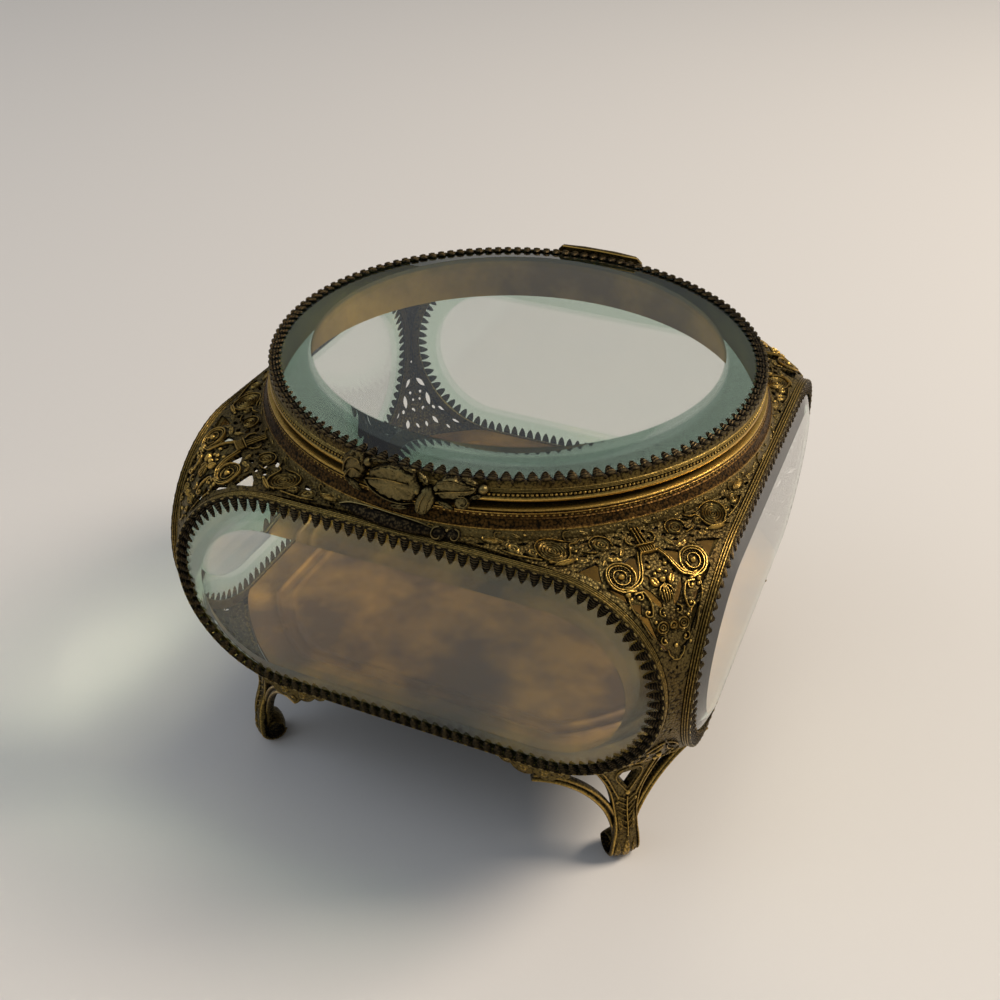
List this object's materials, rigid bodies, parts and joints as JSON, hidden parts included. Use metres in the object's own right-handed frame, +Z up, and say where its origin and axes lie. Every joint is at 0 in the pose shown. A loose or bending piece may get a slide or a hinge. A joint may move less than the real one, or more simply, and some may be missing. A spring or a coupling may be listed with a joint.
{
  "type": "glass casket box",
  "caption": "Footed square jewel casket of pierced brass with bevelled glass sides and a round bevelled glass lid hinged at the back.",
  "frame": {"origin": "on the floor, under the middle of the box", "axes": "+Z up; the front, with the thumb lift, faces -Y; the hinge is at +Y"},
  "size_m": [0.1136, 0.1136, 0.0921],
  "materials": {
    "antique_brass": "antique",
    "dark_brass": "patinated",
    "polished_brass": "satin",
    "bevelled_glass": "clear"
  },
  "bodies": {
    "casket": {"body_hinge_leaf": "antique_brass", "bottom_plate": "polished_brass", "catch_plate": "dark_brass", "collar_liner": "polished_brass", "collar_ring": "antique_brass", "corner_back_left": "antique_brass", "corner_back_right": "antique_brass", "corner_front_left": "antique_brass", "corner_front_right": "antique_brass", "foot_back_left": "antique_brass", "foot_back_right": "antique_brass", "foot_front_left": "antique_brass", "foot_front_right": "antique_brass", "frame_back": "antique_brass", "frame_front": "antique_brass", "frame_left": "antique_brass", "frame_right": "antique_brass", "gallery_back": "dark_brass", "gallery_front": "dark_brass", "gallery_left": "dark_brass", "gallery_right": "dark_brass", "glass_back": "bevelled_glass", "glass_front": "bevelled_glass", "glass_left": "bevelled_glass", "glass_right": "bevelled_glass", "hinge_pin": "polished_brass"},
    "lid": {"lid_band": "antique_brass", "lid_gallery": "dark_brass", "lid_glass": "bevelled_glass", "lid_hinge_leaf": "antique_brass", "clasp_lift": "antique_brass"}
  },
  "joints": [
    {"name": "lid_hinge", "type": "hinge", "parent": "casket", "child": "lid", "pos_m": [0, 0.05325, 0.0855], "axis": [-1, 0, 0], "range_deg": [0, 105]}
  ]
}
